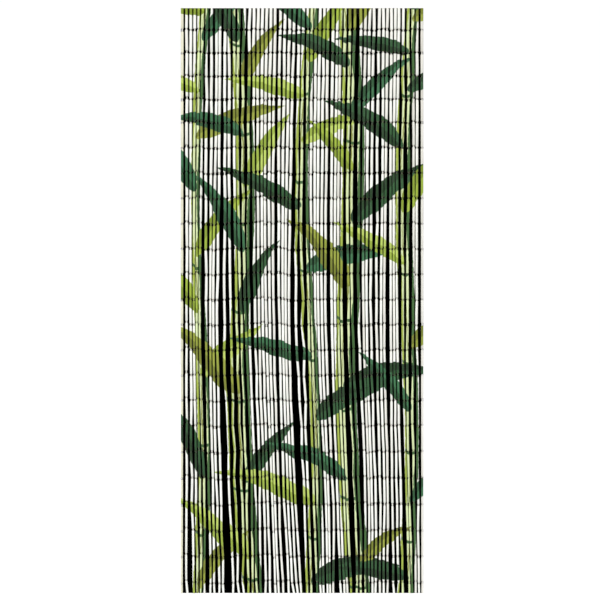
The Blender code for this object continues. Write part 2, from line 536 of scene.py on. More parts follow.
def frame_along(start, end, turn=0.0):
    """Rotation whose Z runs from end up to start, turned about that line."""
    up = (start - end).normalized()
    right = Vector((1, 0, 0))
    side = (right - up * right.dot(up)).normalized()
    back = up.cross(side)
    basis = Matrix((side, back, up)).transposed()
    return basis @ Matrix.Rotation(turn, 3, "Z")


def add_object(name, data):
    """Show mesh, light or camera data in the scene."""
    thing = bpy.data.objects.new(name, data)
    bpy.context.scene.collection.objects.link(thing)
    return thing


def add_piece(name, data, finish, sharp_angle):
    """Show a finished mesh as a piece of the curtain."""
    data.shade_smooth()
    data.set_sharp_from_angle(angle=sharp_angle)
    data.materials.append(finish)
    piece = add_object(name, data)
    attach(piece, "root")
    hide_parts("bamboo_strings")
    return piece


class Bundle:
    """One mesh that takes copies of templates, each with its notes for the paint.

    Every copy also gets its own cell of the piece's flat map.
    """

    def __init__(self, name, cells):
        self.name = name
        self.cells = cells
        self.copies = 0
        self.mesh = bmesh.new()
        layers = self.mesh.verts.layers.float_vector
        self.paint_place = layers.new("paint_place")
        self.tube_place = layers.new("tube_place")
        self.flat_map = self.mesh.loops.layers.uv.new(FLAT_MAP)

    def add(self, template, shape):
        """Copy the template in, and let shape give each point's place and paint notes."""
        first_vert = len(self.mesh.verts)
        first_face = len(self.mesh.faces)
        self.mesh.from_mesh(template)
        self.mesh.verts.ensure_lookup_table()
        self.mesh.faces.ensure_lookup_table()
        for vert in self.mesh.verts[first_vert:]:
            place, paint, tube = shape(vert.co.copy())
            vert.co = place
            vert[self.paint_place] = paint
            vert[self.tube_place] = tube
        row, column = divmod(self.copies, self.cells.across)
        for face in self.mesh.faces[first_face:]:
            for loop in face.loops:
                across, up = loop[self.flat_map].uv
                inner_across = column + CELL_EDGE + across * (1 - 2 * CELL_EDGE)
                inner_up = row + CELL_EDGE + up * (1 - 2 * CELL_EDGE)
                loop[self.flat_map].uv = (
                    inner_across / self.cells.across, inner_up / self.cells.up
                )
        self.copies += 1

    def finish(self, finish, slot, sharp_angle):
        """Make the copies one piece of the curtain."""
        data = bpy.data.meshes.new(self.name)
        self.mesh.to_mesh(data)
        self.mesh.free()
        return add_piece(self.name, data, finish, sharp_angle)


def even_place(string):
    """Where a string hung when the curtain was painted, before it swung."""
    return STRING_PITCH * (string + 0.5) - CURTAIN_WIDTH / 2


def painted_spot(string, chance, string_drop):
    """Where a tube hung when it was painted, across and up from where it hangs now."""
    across = even_place(string) + chance.uniform(-TUBE_TURN_SLIP, TUBE_TURN_SLIP)
    return across, string_drop + chance.uniform(-TUBE_SLIP, TUBE_SLIP)


def string_tones():
    """How grey each string's lacquer is, from 0 to 1: greyer ones hang mostly at the right."""
    chance = random.Random(TONE_SEED)
    tones = []
    for string in range(STRING_COUNT):
        rightness = string / (STRING_COUNT - 1)
        most = LEFT_GREYNESS + (1 - LEFT_GREYNESS) * rightness
        tones.append(chance.random() ** 2 * most)
    return tones


def add_tube(bundle, template, string, start, end, painted, tone, chance):
    """One tube between two points, a little oval, tapered, bowed and uneven."""
    basis = frame_along(start, end, chance.uniform(0.0, math.tau))
    middle = (start + end) / 2
    stretch = (start - end).length / TEMPLATE_LENGTH
    drop_share = -middle.z / CURTAIN_DROP
    thickness = thickness_at(drop_share)
    room = bundle_row(drop_share)[string][1]
    widest = min(SNUG_GIRTH + room / thickness * GIRTH_FOR_ROOM, MOST_GIRTH)
    girth = chance.uniform(LEAST_GIRTH, widest) * thickness / (2 * TUBE_RADIUS)
    oval = chance.uniform(-MOST_OVAL, MOST_OVAL)
    taper = chance.uniform(-MOST_TAPER, MOST_TAPER)
    bow = Vector((chance.uniform(-1, 1), chance.uniform(-1, 1), 0)) * MOST_BOW
    lump_place = chance.uniform(0.0, LUMP_PLACES)

    def shape(point):
        share = 2 * point.z / TEMPLATE_LENGTH
        lump_along = lump_place + share * LUMPS_ALONG
        lump_at = Vector((point.x * LUMPS_ROUND, point.y * LUMPS_ROUND, lump_along))
        lump = 1 + LUMP_SIZE * noise.noise(lump_at)
        x = point.x * girth * (1 + oval + taper * share) * lump
        y = point.y * girth * (1 - oval + taper * share) * lump
        local = basis @ Vector((x, y, point.z * stretch))
        local += bow * (1 - share * share)
        place = middle + local
        across = local - (start - end) * (share / 2)
        end_distance = (1 - abs(share)) * TEMPLATE_LENGTH / 2
        paint = (painted[0] + across.x, painted[1] + place.z, tone)
        from_axis = point.xy.length / TUBE_RADIUS
        return place, paint, (across.y / TUBE_RADIUS, end_distance, from_axis)

    bundle.add(template, shape)


def add_eye(bundle, template, centre, basis, painted, tone):
    """One wire eye at the end of a tube."""

    def shape(point):
        local = basis @ point
        place = centre + local
        paint = (painted[0] + local.x, painted[1] + place.z, tone)
        return place, paint, (local.y / TUBE_RADIUS, TEMPLATE_LENGTH / 2, 1.0)

    bundle.add(template, shape)


def add_link(bundle, template, above, joint, below, painted, tone, chance):
    """Two eyes hooked crosswise in each other, one on each tube's wire."""
    way = chance.choice((-1, 1))
    upper_turn = way * math.radians(chance.uniform(*HALF_CROSSING))
    lower_turn = -way * math.radians(chance.uniform(*HALF_CROSSING))
    upper = frame_along(above, joint, upper_turn)
    lower = frame_along(joint, below, lower_turn) @ Matrix.Rotation(math.pi, 3, "X")
    up_along = (above - joint).normalized() * EYE_TO_JOINT
    down_along = (below - joint).normalized() * EYE_TO_JOINT
    add_eye(bundle, template, joint + up_along, upper, painted, tone)
    add_eye(bundle, template, joint + down_along, lower, painted, tone)


def reach_from_joint(chance):
    """How far the two tubes' ends stay from the joint where their eyes are hooked."""
    long_neck = chance.random() < LONG_NECK_SHARE
    return EYE_TOP_TO_JOINT + chance.uniform(*(LONG_NECK_SHOWN if long_neck else NECK_SHOWN))


def build_bundle(number, tube_shapes, eye, tones, tube_lacquer, wire_lacquer):
    """Five strings: their tubes as one piece and their wire links as another."""
    strings = range(number * STRINGS_PER_BUNDLE, (number + 1) * STRINGS_PER_BUNDLE)
    tubes = Bundle(f"bamboo_tubes_{number + 1:02d}", TUBE_CELLS)
    links = Bundle(f"wire_links_{number + 1:02d}", LINK_CELLS)
    for string in strings:
        chance = random.Random(TUBE_SEED + string)
        line = string_line(string)
        last = len(line) - 2
        reaches = [reach_from_joint(chance) for _ in range(last)]
        paint_chance = random.Random(PAINT_SEED + string)
        string_drop = paint_chance.uniform(-STRING_SLIP, STRING_SLIP)
        for row, (upper, lower) in enumerate(zip(line, line[1:])):
            down = (lower - upper).normalized()
            start = upper if row == 0 else upper + down * reaches[row - 1]
            end = lower if row == last else lower - down * reaches[row]
            has_knuckle = chance.random() < KNUCKLE_SHARE
            template = chance.choice(tube_shapes[1:]) if has_knuckle else tube_shapes[0]
            rise = 1 + upper.z / CURTAIN_DROP
            tone = STRING_GREYNESS * tones[string]
            tone += TUBE_GREYNESS * chance.random()
            tone += HEIGHT_GREYNESS * rise
            painted = painted_spot(string, paint_chance, string_drop)
            add_tube(tubes, template, string, start, end, painted, tone, chance)
            if row < last:
                add_link(links, eye, upper, lower, line[row + 2], painted, tone, chance)
    left = even_place(strings[0]) - STRING_PITCH / 2
    right = even_place(strings[-1]) + STRING_PITCH / 2
    design = design_group(number, left, right)
    tube_finish = lacquered_bamboo(number, design, tube_lacquer)
    tubes.finish(tube_finish, "lacquered_bamboo", WOOD_SHARP_ANGLE)
    link_finish = wire(f"painted_wire_{number + 1:02d}", wire_lacquer, design)
    links.finish(link_finish, "link_wire", WIRE_SHARP_ANGLE)


def build_strings(tube_lacquer, wire_lacquer):
    """All the strings, five to a bundle."""
    knuckle_heights = [place * TEMPLATE_LENGTH for place in KNUCKLE_PLACES]
    tube_shapes = [tube_template(), *map(tube_template, knuckle_heights)]
    eye = eye_template()
    tones = string_tones()
    for number in range(STRING_COUNT // STRINGS_PER_BUNDLE):
        build_bundle(number, tube_shapes, eye, tones, tube_lacquer, wire_lacquer)


def build_hooks(finish):
    """A wire hook over the lath for each string."""
    template = hook_template()
    hooks = Bundle("hanging_hooks", HOOK_CELLS)
    for string in range(STRING_COUNT):
        top = string_line(string)[0]

        def shape(point):
            return top + point, (0.0, 0.0, HOOK_GREYNESS), (1.0, TEMPLATE_LENGTH / 2, 1.0)

        hooks.add(template, shape)
    piece = hooks.finish(finish, "link_wire", WIRE_SHARP_ANGLE)
    piece.data.uv_layers.remove(piece.data.uv_layers[FLAT_MAP])


def build_lath(finish):
    """The thin lath behind the top ends, its edges eased."""
    mesh = bmesh.new()
    bmesh.ops.create_cube(mesh, size=1.0)
    size = (CURTAIN_WIDTH, LATH_BACK - LATH_FRONT, LATH_HEIGHT)
    bmesh.ops.scale(mesh, vec=size, verts=mesh.verts[:])
    centre = (0, (LATH_FRONT + LATH_BACK) / 2, -LATH_HEIGHT / 2)
    bmesh.ops.translate(mesh, vec=centre, verts=mesh.verts[:])
    bmesh.ops.bevel(
        mesh, geom=mesh.edges[:], offset=LATH_EASING, offset_type="OFFSET",
        segments=LATH_EASING_STEPS, profile=0.5, affect="EDGES", material=-1,
    )
    data = template_from(mesh, "header_lath")
    add_piece("header_lath", data, finish, WOOD_SHARP_ANGLE)


def linear(red, green, blue):
    """A screen colour of 0 to 255 as the shader wants it."""
    values = []
    for value in (red, green, blue):
        share = value / 255
        values.append(share / 12.92 if share <= 0.04045 else ((share + 0.055) / 1.055) ** 2.4)
    return (*values, 1.0)


LACQUER_WHITE = linear(250, 252, 246)
LACQUER_GREYED = linear(216, 213, 203)
BARE_CREAM = linear(226, 224, 200)
RAW_BAMBOO = linear(128, 98, 58)
# Raw bamboo inside the bores, darkened further as painted shade
BORE_PAINTED_SHADE = linear(104, 84, 58)
WORN_STEEL = linear(120, 118, 112)
STEM_SHADE = linear(60, 98, 48)
LATH_STAIN = linear(8, 6, 5)
LATH_STREAK = linear(20, 14, 11)
LATH_PITS = linear(7, 5, 4)

# Painted stems: the colour of each part, in the order of painting
STEM_PAINTS = {
    "Body": linear(212, 225, 174),
    "Rib": linear(134, 140, 64),
    "Light edge": linear(156, 174, 70),
    "Shaded edge": STEM_SHADE,
    "Joint": STEM_SHADE,
}
# Painted leaves: colour of the near half and of the half beyond the midrib
LeafPaint = namedtuple("LeafPaint", "near far")
DARK_PAINTS = (
    LeafPaint(linear(55, 108, 70), linear(37, 80, 46)),
    LeafPaint(linear(42, 84, 46), linear(29, 60, 28)),
)
YELLOW_PAINTS = (
    LeafPaint(linear(154, 176, 60), linear(128, 148, 44)),
    LeafPaint(linear(146, 156, 58), linear(118, 126, 42)),
    LeafPaint(linear(184, 204, 100), linear(148, 170, 62)),
)

# Painted stems: place at the foot, how far the top leans, sideways sway, half
# width at the foot, height of the lowest leaf and of the next ones, and its side
Stem = namedtuple("Stem", "foot_x lean sway half_width first_leaf leaf_pitch first_side")
STEMS = (
    Stem(-0.390, 0.040, 0.024, 0.026, 0.02, 0.165, 1),
    Stem(-0.205, -0.040, -0.028, 0.037, 0.13, 0.175, -1),
    Stem(-0.005, 0.045, 0.030, 0.027, 0.04, 0.165, 1),
    Stem(0.195, -0.030, -0.026, 0.041, 0.10, 0.175, 1),
    Stem(0.370, 0.040, 0.022, 0.028, 0.06, 0.165, -1),
)
STEM_TOP_TAPER = 0.25
# How a value is spread out: over what span, and from where
Spread = namedtuple("Spread", "span start")
# Across a stem, as shares of its half width: where the light edge ends and the
# shade begins, the rib's width and place, and how often they waver up the stem
STEM_LIGHT = Spread(0.10, -0.62)
STEM_DARK = Spread(0.12, 0.40)
STEM_RIB_WIDTH = Spread(0.03, 0.06)
STEM_RIB_PLACE = -0.12
STEM_WAVERS = 11.0
# The painted joints of a stem: how far apart, how high, how much they dip at the
# middle, and how far the next stem's joints are put off
STEM_JOINT_PITCH = 0.33
STEM_JOINT_HEIGHT = 0.011
STEM_JOINT_DIP = -0.014
STEM_JOINT_SHIFT = 0.9

# Painted leaves, drawn stem by stem from seeds of their own: length, half width
# as a share of it, rise above level in degrees, and how strongly the leaf arches
LEAF_SEED = 185
LEAF_SEED_STEP = 31
LEAF_LENGTH = (0.26, 0.38)
LEAF_SLIMNESS = (0.086, 0.114)
LEAF_RISE = (8, 62)
LEAF_ARCH = (1.2, 3.4)
# How far apart they grow at foot and top, beside their stem's own pitch, how
# unevenly, how far over the top edge, and how often the paint changes
FOOT_SPARSENESS = 2.2
TOP_SPARSENESS = 0.72
PITCH_SPREAD = (0.75, 1.25)
LEAF_OVERHANG = 0.03
DARK_FIRST_SHARE = 0.5
PAINT_CHANGE_SHARE = 0.6
# What makes the outline sqrt(x) * (1 - x) as wide as 1 at its widest, and how
# many half widths an arching leaf may need beside its straight line
LEAF_OUTLINE_SCALE = 2.598
LEAF_SPARE = 2.2
Leaf = namedtuple("Leaf", "x z turn length half_width arch paint")

# Bamboo grain: how fibres and pits are stretched along, how fine the pits are, and
# how deep, and the noise level that makes one
FIBRE_STRETCH = 0.03
FIBRE_DETAIL = 3.0
FIBRE_ROUGHNESS = 0.6
PIT_STRETCH = 0.32
PIT_FINENESS = 620.0
PIT_DEPTH = 0.5
PIT_LEVEL = 0.735
PIT_STRENGTH = 0.6
Bump = namedtuple("Bump", "strength distance")
WOOD_BUMP = Bump(0.5, 0.0004)
SOFT_DETAIL = 2.0

# The lacquer and the paint on it: grain, strength and roughness, how far round the
# tube the design reaches, and how far a brush's line is unsettled
LACQUER_GRAIN = 420.0
LACQUER_STRENGTH = Spread(0.34, 0.76)
LACQUER_TUBE_STRENGTH = 0.08
TONE_SHUFFLE = 37.0
LACQUER_ROUGHNESS = Spread(0.22, 0.32)
LACQUER_SHINE = 0.22
DESIGN_EDGE = Spread(0.9, -0.2)
SHAKE_FINENESS = 60.0
SHAKE_REACH = 0.006
# Chips at the tubes' ends: how fine, how far from the end, how bare and how rough
CHIP_FINENESS = 330.0
CHIP_REACH = Spread(0.014, -0.0074)
CHIP_BARENESS = 0.85
CHIP_ROUGHNESS = 0.8
BORE_EDGE = 1 - TUBE_WALL / TUBE_RADIUS - 0.01

# The lacquered wire, and where it is rubbed to steel
WIRE_GRAIN = 900.0
WIRE_DESIGN_EDGE = 0.25
WIRE_BUMP = Bump(0.4, 0.0002)
WIRE_ROUGHNESS = Spread(-0.12, 0.46)
RUB_FINENESS = 260.0
RUB_DETAIL = 3.0
RUB_LEVEL = 0.64
RUB_METAL = 0.85

# The lath's stain
LATH_GRAIN = 300.0
LATH_ROUGHNESS = Spread(0.2, 0.75)
LATH_SHINE = 0.1


class NodeSheet:
    """Adds nodes to one tree, each input given a number, a colour or another socket."""

    def __init__(self, tree):
        self.tree = tree

    def fill(self, sockets, values):
        """Link another socket, or set a number or a colour, at each named socket."""
        for name, value in values.items():
            if isinstance(value, bpy.types.NodeSocket):
                self.tree.links.new(value, sockets[name])
            else:
                sockets[name].default_value = value

    def add(self, kind, inputs=None, **settings):
        made = self.tree.nodes.new(kind)
        for name, value in settings.items():
            setattr(made, name, value)
        self.fill(made.inputs, inputs or {})
        return made

    def math(self, operation, *values, clamp=False):
        inputs = dict(enumerate(values))
        made = self.add("ShaderNodeMath", inputs, operation=operation, use_clamp=clamp)
        return made.outputs[0]

    def spread(self, value, over):
        return self.math("MULTIPLY_ADD", value, over.span, over.start)

    def mix(self, factor, under, over, blend="MIX"):
        inputs = {0: factor, 6: under, 7: over}
        made = self.add("ShaderNodeMix", inputs, data_type="RGBA", blend_type=blend)
        return made.outputs[2]

    def group(self, tree, inputs):
        return self.add("ShaderNodeGroup", inputs, node_tree=tree).outputs

    def parts(self, vector):
        return self.add("ShaderNodeSeparateXYZ", {0: vector}).outputs

    def attribute(self, name):
        return self.add("ShaderNodeAttribute", attribute_name=name).outputs["Vector"]

    def mapping(self, vector, **inputs):
        return self.add("ShaderNodeMapping", {"Vector": vector, **inputs}).outputs[0]

    def noise(self, vector, scale, detail, **inputs):
        """Noise as a value and as a colour."""
        inputs = {"Vector": vector, "Scale": scale, "Detail": detail, **inputs}
        return self.add("ShaderNodeTexNoise", inputs).outputs

    def vector_math(self, operation, inputs):
        return self.add("ShaderNodeVectorMath", inputs, operation=operation).outputs[0]

    def bump(self, bump, height):
        inputs = {"Strength": bump.strength, "Distance": bump.distance, "Height": height}
        return self.add("ShaderNodeBump", inputs).outputs[0]


def new_group(name, inputs, outputs):
    """An empty node group with named sockets, its sheet and its two end nodes."""
    tree = bpy.data.node_groups.new(name, "ShaderNodeTree")
    kinds = {"value": "NodeSocketFloat", "vector": "NodeSocketVector", "colour": "NodeSocketColor"}
    for socket, kind in inputs.items():
        tree.interface.new_socket(socket, in_out="INPUT", socket_type=kinds[kind])
    for socket, kind in outputs.items():
        tree.interface.new_socket(socket, in_out="OUTPUT", socket_type=kinds[kind])
    sheet = NodeSheet(tree)
    taken = sheet.add("NodeGroupInput").outputs
    given = sheet.add("NodeGroupOutput").inputs
    return tree, sheet, taken, given


def painted_leaf_group():
    """Masks of one painted leaf, round at its root and pointed: all of it, and its far half."""
    tree, sheet, taken, given = new_group(
        "Painted leaf",
        {"Place": "vector", "Root": "vector", "Turn": "vector", "Size": "vector",
         "Arch": "value"},
        {"Leaf": "value", "Far half": "value"},
    )
    leaf_place = sheet.add(
        "ShaderNodeMapping",
        {"Vector": taken["Place"], "Location": taken["Root"],
         "Rotation": taken["Turn"], "Scale": taken["Size"]},
        vector_type="TEXTURE",
    )
    along, across, _ = sheet.parts(leaf_place.outputs[0])
    rest = sheet.math("SUBTRACT", 1.0, along)
    room = sheet.math("MULTIPLY", along, rest)
    off_rib = sheet.math("MULTIPLY_ADD", room, taken["Arch"], across)
    outline = sheet.math("MULTIPLY", sheet.math("SQRT", along), rest)
    outline = sheet.math("MULTIPLY", outline, LEAF_OUTLINE_SCALE)
    leaf = sheet.math("LESS_THAN", sheet.math("ABSOLUTE", off_rib), outline)
    far_half = sheet.math("GREATER_THAN", off_rib, 0.0)
    sheet.fill(given, {"Leaf": leaf, "Far half": far_half})
    return tree


def painted_stem_group():
    """Masks of one painted stem: its body, light and shaded edges, rib and joints."""
    tree, sheet, taken, given = new_group(
        "Painted stem",
        {"Place": "vector", "Foot": "value", "Lean": "value", "Sway": "value",
         "Half width": "value"},
        {"Body": "value", "Light edge": "value", "Shaded edge": "value", "Rib": "value",
         "Joint": "value"},
    )
    side, height, _ = sheet.parts(taken["Place"])
    rise = sheet.math("MULTIPLY_ADD", height, 1 / CURTAIN_DROP, 1.0)
    wave = sheet.math("SINE", sheet.math("MULTIPLY", rise, math.tau))
    middle = sheet.math("MULTIPLY_ADD", rise, taken["Lean"], taken["Foot"])
    middle = sheet.math("MULTIPLY_ADD", wave, taken["Sway"], middle)
    slimming = sheet.math("MULTIPLY_ADD", rise, -STEM_TOP_TAPER, 1.0)
    half_width = sheet.math("MULTIPLY", slimming, taken["Half width"])
    off_middle = sheet.math("SUBTRACT", side, middle)
    across = sheet.math("DIVIDE", off_middle, half_width)
    body = sheet.math("LESS_THAN", sheet.math("ABSOLUTE", across), 1.0)
    waver = sheet.math("SINE", sheet.math("MULTIPLY", height, STEM_WAVERS))
    light = sheet.math("LESS_THAN", across, sheet.spread(waver, STEM_LIGHT))
    shaded = sheet.math("GREATER_THAN", across, sheet.spread(waver, STEM_DARK))
    off_rib = sheet.math("ABSOLUTE", sheet.math("SUBTRACT", across, STEM_RIB_PLACE))
    rib = sheet.math("LESS_THAN", off_rib, sheet.spread(waver, STEM_RIB_WIDTH))
    dip = sheet.math("MULTIPLY", sheet.math("MULTIPLY", across, across), STEM_JOINT_DIP)
    level = sheet.math("ADD", height, dip)
    level = sheet.math("MULTIPLY_ADD", taken["Foot"], STEM_JOINT_SHIFT, level)
    spot = sheet.math("FRACT", sheet.math("MULTIPLY", level, 1 / STEM_JOINT_PITCH))
    joint = sheet.math("LESS_THAN", spot, STEM_JOINT_HEIGHT / STEM_JOINT_PITCH)
    masks = {"Light edge": light, "Shaded edge": shaded, "Rib": rib, "Joint": joint}
    within = {name: sheet.math("MULTIPLY", body, mask) for name, mask in masks.items()}
    sheet.fill(given, {"Body": body, **within})
    return tree


def stem_leaves(stem, number):
    """The leaves of one stem from its foot up, set left and right in turn."""
    chance = random.Random(LEAF_SEED + LEAF_SEED_STEP * number)
    height = stem.first_leaf
    side = stem.first_side
    dark = chance.random() < DARK_FIRST_SHARE
    while height < CURTAIN_DROP + LEAF_OVERHANG:
        rise = height / CURTAIN_DROP
        middle = stem.foot_x + stem.lean * rise + stem.sway * math.sin(math.tau * rise)
        tilt = math.radians(chance.uniform(*LEAF_RISE))
        turn = tilt if side > 0 else math.pi - tilt
        length = chance.uniform(*LEAF_LENGTH)
        half_width = length * chance.uniform(*LEAF_SLIMNESS)
        arch = -side * chance.uniform(*LEAF_ARCH)
        paint = chance.choice(DARK_PAINTS if dark else YELLOW_PAINTS)
        yield Leaf(middle, height - CURTAIN_DROP, turn, length, half_width, arch, paint)
        sparseness = FOOT_SPARSENESS + (TOP_SPARSENESS - FOOT_SPARSENESS) * rise
        height += stem.leaf_pitch * sparseness * chance.uniform(*PITCH_SPREAD)
        side = -side
        if chance.random() < PAINT_CHANGE_SHARE:
            dark = not dark


def crosses(leaf, left, right):
    """Whether a leaf may reach the strings between two places."""
    tip_x = leaf.x + leaf.length * math.cos(leaf.turn)
    spare = LEAF_SPARE * leaf.half_width
    return min(leaf.x, tip_x) - spare < right and max(leaf.x, tip_x) + spare > left


def unsettled(sheet, place):
    """The place that a brush really painted, a few hairs off."""
    shake = sheet.noise(place, SHAKE_FINENESS, SOFT_DETAIL)["Color"]
    centred = sheet.vector_math("SUBTRACT", {0: shake, 1: (0.5, 0.5, 0.5)})
    scaled = sheet.vector_math("SCALE", {0: centred, "Scale": SHAKE_REACH})
    return sheet.vector_math("ADD", {0: place, 1: scaled})


def design_group(number, left, right):
    """The painted stems and leaves that reach one bundle, on a given ground colour."""
    tree, sheet, taken, given = new_group(
        f"Stems and leaves {number + 1:02d}",
        {"Place": "vector", "Ground": "colour"}, {"Colour": "colour"},
    )
    leaf_group = bpy.data.node_groups.get("Painted leaf") or painted_leaf_group()
    stem_group = bpy.data.node_groups.get("Painted stem") or painted_stem_group()
    place = unsettled(sheet, taken["Place"])
    colour = taken["Ground"]
    for stem in STEMS:
        sweep = abs(stem.lean) + abs(stem.sway) + stem.half_width
        if stem.foot_x - sweep > right or stem.foot_x + sweep < left:
            continue
        masks = sheet.group(stem_group, {
            "Place": place, "Foot": stem.foot_x, "Lean": stem.lean,
            "Sway": stem.sway, "Half width": stem.half_width,
        })
        for part, paint in STEM_PAINTS.items():
            colour = sheet.mix(masks[part], colour, paint)
    leaves = [leaf for row, stem in enumerate(STEMS) for leaf in stem_leaves(stem, row)]
    for leaf in leaves:
        if not crosses(leaf, left, right):
            continue
        masks = sheet.group(leaf_group, {
            "Place": place, "Root": (leaf.x, leaf.z, 0.0),
            "Turn": (0.0, 0.0, leaf.turn), "Size": (leaf.length, leaf.half_width, 1.0),
            "Arch": leaf.arch,
        })
        shade = sheet.mix(masks["Far half"], leaf.paint.near, leaf.paint.far)
        colour = sheet.mix(masks["Leaf"], colour, shade)
    sheet.fill(given, {"Colour": colour})
    return tree


def grain_group():
    """Bamboo fibre along the tube: its streaks, its fine height and its pits."""
    tree, sheet, taken, given = new_group(
        "Bamboo grain", {"Place": "vector", "Fineness": "value"},
        {"Streak": "value", "Height": "value", "Speck": "value"},
    )
    fibres = sheet.mapping(taken["Place"], Scale=(1.0, 1.0, FIBRE_STRETCH))
    streak = sheet.noise(fibres, taken["Fineness"], FIBRE_DETAIL, Roughness=FIBRE_ROUGHNESS)[0]
    pits = sheet.mapping(taken["Place"], Scale=(1.0, 1.0, PIT_STRETCH))
    pit_noise = sheet.noise(pits, PIT_FINENESS, SOFT_DETAIL)[0]
    speck = sheet.math("GREATER_THAN", pit_noise, PIT_LEVEL)
    height = sheet.math("SUBTRACT", streak, sheet.math("MULTIPLY", speck, PIT_DEPTH))
    sheet.fill(given, {"Streak": streak, "Height": height, "Speck": speck})
    return tree


def new_material(name):
    material = bpy.data.materials.new(name)
    material.use_nodes = True
    sheet = NodeSheet(material.node_tree)
    shader = material.node_tree.nodes["Principled BSDF"]
    return material, sheet, shader


def tube_lacquer_group(grain):
    """Lacquer on a tube, the design on its front: its tone, pits, worn ends, and a raw bore in
    painted shade.
    """
    tree, sheet, taken, given = new_group(
        "Tube lacquer",
        {"Place": "vector", "Tone": "value", "Facing": "value", "End distance": "value",
         "From axis": "value", "Ground": "colour", "Painted": "colour"},
        {"Colour": "colour", "Roughness": "value", "Height": "value"},
    )
    fibre = sheet.group(grain, {"Place": taken["Place"], "Fineness": LACQUER_GRAIN})
    design_edge = sheet.spread(fibre["Streak"], DESIGN_EDGE)
    front = sheet.math("LESS_THAN", taken["Facing"], design_edge)
    colour = sheet.mix(front, taken["Ground"], taken["Painted"])
    tube_chance = sheet.math("FRACT", sheet.math("MULTIPLY", taken["Tone"], TONE_SHUFFLE))
    strength = sheet.spread(fibre["Streak"], LACQUER_STRENGTH)
    strength = sheet.math(
        "MULTIPLY_ADD", tube_chance, LACQUER_TUBE_STRENGTH, strength, clamp=True
    )
    dimmed = sheet.add("ShaderNodeCombineColor", {0: strength, 1: strength, 2: strength})
    colour = sheet.mix(1.0, colour, dimmed.outputs[0], "MULTIPLY")
    pitted = sheet.math("MULTIPLY", fibre["Speck"], PIT_STRENGTH)
    colour = sheet.mix(pitted, colour, RAW_BAMBOO)
    chip_noise = sheet.noise(taken["Place"], CHIP_FINENESS, SOFT_DETAIL)[0]
    chip_reach = sheet.spread(chip_noise, CHIP_REACH)
    chipped = sheet.math("LESS_THAN", taken["End distance"], chip_reach)
    colour = sheet.mix(sheet.math("MULTIPLY", chipped, CHIP_BARENESS), colour, RAW_BAMBOO)
    # Inside the bore: raw bamboo darkened as painted shade
    in_bore = sheet.math("LESS_THAN", taken["From axis"], BORE_EDGE)
    chip_rough = sheet.math("MULTIPLY", chipped, CHIP_ROUGHNESS)
    rough = sheet.spread(fibre["Streak"], LACQUER_ROUGHNESS)
    sheet.fill(given, {
        "Colour": sheet.mix(in_bore, colour, BORE_PAINTED_SHADE),
        "Roughness": sheet.math("MAXIMUM", rough, chip_rough),
        "Height": fibre["Height"],
    })
    return tree


def wire_lacquer_group(grain):
    """Lacquer on a wire: its ground colour, where it is rubbed off, and its grain."""
    tree, sheet, taken, given = new_group(
        "Wire lacquer", {"Place": "vector"},
        {"Ground": "colour", "Rubbed": "value", "Height": "value"},
    )
    fibre = sheet.group(grain, {"Place": taken["Place"], "Fineness": WIRE_GRAIN})
    rub_noise = sheet.noise(taken["Place"], RUB_FINENESS, RUB_DETAIL)[0]
    sheet.fill(given, {
        "Ground": sheet.mix(fibre["Streak"], LACQUER_GREYED, LACQUER_WHITE),
        "Rubbed": sheet.math("GREATER_THAN", rub_noise, RUB_LEVEL),
        "Height": fibre["Streak"],
    })
    return tree


def lacquered_bamboo(number, design, lacquer):
    """White lacquer over the tubes of one bundle, with its design."""
    material, sheet, shader = new_material(f"lacquered_bamboo_{number + 1:02d}")
    place = sheet.attribute("paint_place")
    paint_x, _, tone = sheet.parts(place)
    facing, end_distance, from_axis = sheet.parts(sheet.attribute("tube_place"))
    where = sheet.add("ShaderNodeTexCoord").outputs["Object"]
    ground = sheet.mix(tone, LACQUER_WHITE, LACQUER_GREYED)
    if number == 0:
        first_string = sheet.math("LESS_THAN", paint_x, even_place(0) + STRING_PITCH / 2)
        ground = sheet.mix(first_string, ground, BARE_CREAM)
    painted = sheet.group(design, {"Place": place, "Ground": ground})["Colour"]
    coat = sheet.group(lacquer, {
        "Place": where, "Tone": tone, "Facing": facing, "End distance": end_distance,
        "From axis": from_axis, "Ground": ground, "Painted": painted,
    })
    sheet.fill(shader.inputs, {
        "Base Color": coat["Colour"],
        "Roughness": coat["Roughness"],
        "Specular IOR Level": LACQUER_SHINE,
        "Normal": sheet.bump(WOOD_BUMP, coat["Height"]),
    })
    return material


def wire(name, lacquer, design=None):
    """Lacquered wire, with the design where it is painted, rubbed to steel in places."""
    material, sheet, shader = new_material(name)
    where = sheet.add("ShaderNodeTexCoord").outputs["Object"]
    coat = sheet.group(lacquer, {"Place": where})
    colour = coat["Ground"]
    if design is not None:
        place = sheet.attribute("paint_place")
        facing = sheet.parts(sheet.attribute("tube_place"))[0]
        painted = sheet.group(design, {"Place": place, "Ground": colour})["Colour"]
        front = sheet.math("LESS_THAN", facing, WIRE_DESIGN_EDGE)
        colour = sheet.mix(front, colour, painted)
    sheet.fill(shader.inputs, {
        "Base Color": sheet.mix(coat["Rubbed"], colour, WORN_STEEL),
        "Metallic": sheet.math("MULTIPLY", coat["Rubbed"], RUB_METAL),
        "Roughness": sheet.spread(coat["Rubbed"], WIRE_ROUGHNESS),
        "Normal": sheet.bump(WIRE_BUMP, coat["Height"]),
    })
    return material


